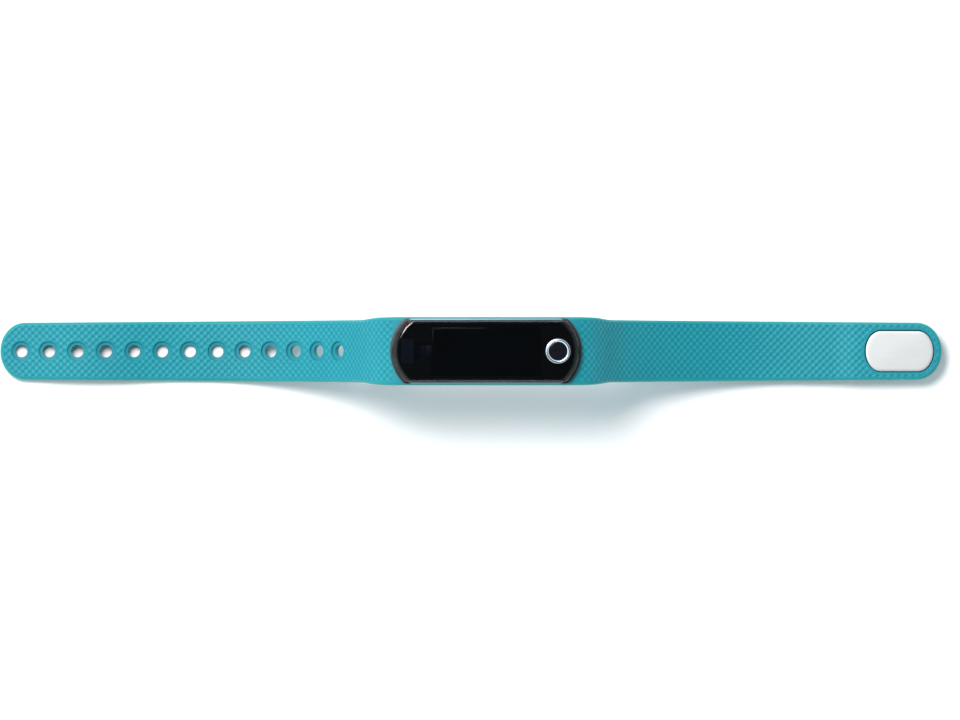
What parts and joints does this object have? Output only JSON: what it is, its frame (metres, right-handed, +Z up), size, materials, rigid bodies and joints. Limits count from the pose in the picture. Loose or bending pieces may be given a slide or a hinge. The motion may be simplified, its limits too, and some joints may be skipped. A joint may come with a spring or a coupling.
{
  "type": "fitness tracker band",
  "caption": "Wrist fitness tracker: a slim sealed pod with a smoked lens and ring button, seated in a punched silicone band with a two-peg clasp.",
  "frame": {"origin": "middle of the open band's footprint, on the surface that it stands on", "axes": "+X along the band from the punched tail to the clasp tail, +Y across the band, +Z up out of the pod's lens"},
  "size_m": [0.2344, 0.0168, 0.0356],
  "materials": {
    "silicone": "moulded silicone, satin, with a fine raised diamond texture outside",
    "black_plastic": "moulded black polycarbonate",
    "smoked_lens": "polished smoked lens",
    "bright_trim": "polished, anodised a pale silver blue",
    "chrome": "polished ring",
    "steel": "satin stainless steel",
    "black_rubber": "matt seal rubber",
    "board": "solder-masked circuit board",
    "chip": "moulded chip package",
    "metal_can": "plated pressed metal",
    "gold": "gold-plated contact",
    "battery_pouch": "laminated foil pouch",
    "ribbon": "amber polyimide flex",
    "display": "dark display glass",
    "red_wire": "insulated wire",
    "black_wire": "insulated wire",
    "led": "clear lamp on a white base"
  },
  "bodies": {
    "cradle": {"cradle": "silicone"},
    "pod": {"case": "black_plastic", "back_cover": "black_plastic", "cover_lens": "smoked_lens", "lens_gasket": "black_rubber", "case_seal": "black_rubber", "side_trim_1": "bright_trim", "side_trim_2": "bright_trim", "display_carrier": "black_plastic", "carrier_screw_1": "metal_can", "carrier_screw_2": "metal_can", "display_panel": "display", "display_polariser": "display", "display_ribbon": "ribbon", "main_board": "board", "display_connector": "chip", "motion_sensor_chip": "chip", "radio_crystal": "metal_can", "processor_chip": "chip", "memory_chip": "chip", "antenna": "ribbon", "battery": "battery_pouch", "battery_lead_plus": "red_wire", "battery_lead_minus": "black_wire", "vibration_motor": "metal_can", "sensor_window": "smoked_lens", "sensor_board": "board", "sensor_led_1": "led", "sensor_led_2": "led", "sensor_photodiode": "chip", "sensor_ribbon": "ribbon", "charging_contact_1": "gold", "charging_contact_2": "gold", "button_switch": "chip", "switch_dome": "metal_can"},
    "button": {"button_cap": "black_plastic", "button_ring": "chrome", "button_seal": "black_rubber"},
    "rotor": {"motor_shaft": "steel", "vibration_weight": "steel"},
    "punched_tail_link_1": {"punched_tail_link_1": "silicone"},
    "punched_tail_link_2": {"punched_tail_link_2": "silicone"},
    "punched_tail_link_3": {"punched_tail_link_3": "silicone"},
    "punched_tail_link_4": {"punched_tail_link_4": "silicone"},
    "punched_tail_link_5": {"punched_tail_link_5": "silicone"},
    "punched_tail_link_6": {"punched_tail_link_6": "silicone"},
    "punched_tail_link_7": {"punched_tail_link_7": "silicone"},
    "clasp_tail_link_1": {"clasp_tail_link_1": "silicone"},
    "clasp_tail_link_2": {"clasp_tail_link_2": "silicone"},
    "clasp_tail_link_3": {"clasp_tail_link_3": "silicone"},
    "clasp_tail_link_4": {"clasp_tail_link_4": "silicone"},
    "clasp_tail_link_5": {"clasp_tail_link_5": "silicone"},
    "clasp_tail_link_6": {"clasp_tail_link_6": "silicone", "clasp_plate": "steel", "clasp_backing_strip": "steel", "clasp_peg_1": "steel", "clasp_peg_2": "steel"}
  },
  "joints": [
    {"name": "pod_release", "type": "slide", "parent": "cradle", "child": "pod", "axis": [0, 0, 1], "range_m": [0, 0.014]},
    {"name": "button_press", "type": "slide", "parent": "pod", "child": "button", "axis": [0, 0, -1], "range_m": [0, 0.00035], "stiffness_N_per_m": 1000},
    {"name": "rotor_spin", "type": "hinge", "parent": "pod", "child": "rotor", "pos_m": [0.01799, -0.0052, 0.02802], "axis": [0, 1, 0], "continuous": true},
    {"name": "punched_flex_1", "type": "hinge", "parent": "cradle", "child": "punched_tail_link_1", "pos_m": [-0.02463, 0, 0.02161], "axis": [0, -1, 0], "range_deg": [-3.5, 32.5], "stiffness_Nm_per_rad": 0.8},
    {"name": "punched_flex_2", "type": "hinge", "parent": "punched_tail_link_1", "child": "punched_tail_link_2", "pos_m": [-0.03425, 0, 0.01147], "axis": [0, -1, 0], "range_deg": [-4.7, 41]},
    {"name": "punched_flex_3", "type": "hinge", "parent": "punched_tail_link_2", "child": "punched_tail_link_3", "pos_m": [-0.04611, 0, 0.00412], "axis": [0, -1, 0], "range_deg": [-5.1, 44.6]},
    {"name": "punched_flex_4", "type": "hinge", "parent": "punched_tail_link_3", "child": "punched_tail_link_4", "pos_m": [-0.05956, 0, 0.0004], "axis": [0, -1, 0], "range_deg": [-4.6, 40.1]},
    {"name": "punched_flex_5", "type": "hinge", "parent": "punched_tail_link_4", "child": "punched_tail_link_5", "pos_m": [-0.07354, 0, 0.00006], "axis": [0, -1, 0], "range_deg": [-3.7, 31.9]},
    {"name": "punched_flex_6", "type": "hinge", "parent": "punched_tail_link_5", "child": "punched_tail_link_6", "pos_m": [-0.08745, 0, 0.00157], "axis": [0, -1, 0], "range_deg": [-3.3, 28.3]},
    {"name": "punched_flex_7", "type": "hinge", "parent": "punched_tail_link_6", "child": "punched_tail_link_7", "pos_m": [-0.10143, 0, 0.00157], "axis": [0, -1, 0], "range_deg": [-3.3, 28.3]},
    {"name": "clasp_flex_1", "type": "hinge", "parent": "cradle", "child": "clasp_tail_link_1", "pos_m": [0.03196, 0, 0.02198], "axis": [0, 1, 0], "range_deg": [-3.5, 33.3], "stiffness_Nm_per_rad": 0.8},
    {"name": "clasp_flex_2", "type": "hinge", "parent": "clasp_tail_link_1", "child": "clasp_tail_link_2", "pos_m": [0.04278, 0, 0.01284], "axis": [0, 1, 0], "range_deg": [-4.2, 37.5]},
    {"name": "clasp_flex_3", "type": "hinge", "parent": "clasp_tail_link_2", "child": "clasp_tail_link_3", "pos_m": [0.05535, 0, 0.00629], "axis": [0, 1, 0], "range_deg": [-4.2, 37.5]},
    {"name": "clasp_flex_4", "type": "hinge", "parent": "clasp_tail_link_3", "child": "clasp_tail_link_4", "pos_m": [0.06905, 0, 0.00268], "axis": [0, 1, 0], "range_deg": [-4.2, 37.1]},
    {"name": "clasp_flex_5", "type": "hinge", "parent": "clasp_tail_link_4", "child": "clasp_tail_link_5", "pos_m": [0.08321, 0, 0.00216], "axis": [0, 1, 0], "range_deg": [-3.3, 29]},
    {"name": "clasp_flex_6", "type": "hinge", "parent": "clasp_tail_link_5", "child": "clasp_tail_link_6", "pos_m": [0.09739, 0, 0.0029], "axis": [0, 1, 0], "range_deg": [-2.5, 21.3]}
  ],
  "couplings": [
    {"joint": "punched_flex_2", "follows": "punched_flex_1", "ratio": 1.251},
    {"joint": "punched_flex_3", "follows": "punched_flex_1", "ratio": 1.364},
    {"joint": "punched_flex_4", "follows": "punched_flex_1", "ratio": 1.224},
    {"joint": "punched_flex_5", "follows": "punched_flex_1", "ratio": 0.973},
    {"joint": "punched_flex_6", "follows": "punched_flex_1", "ratio": 0.861},
    {"joint": "punched_flex_7", "follows": "punched_flex_1", "ratio": 0.861},
    {"joint": "clasp_flex_2", "follows": "clasp_flex_1", "ratio": 1.118},
    {"joint": "clasp_flex_3", "follows": "clasp_flex_1", "ratio": 1.118},
    {"joint": "clasp_flex_4", "follows": "clasp_flex_1", "ratio": 1.106},
    {"joint": "clasp_flex_5", "follows": "clasp_flex_1", "ratio": 0.862},
    {"joint": "clasp_flex_6", "follows": "clasp_flex_1", "ratio": 0.631}
  ]
}
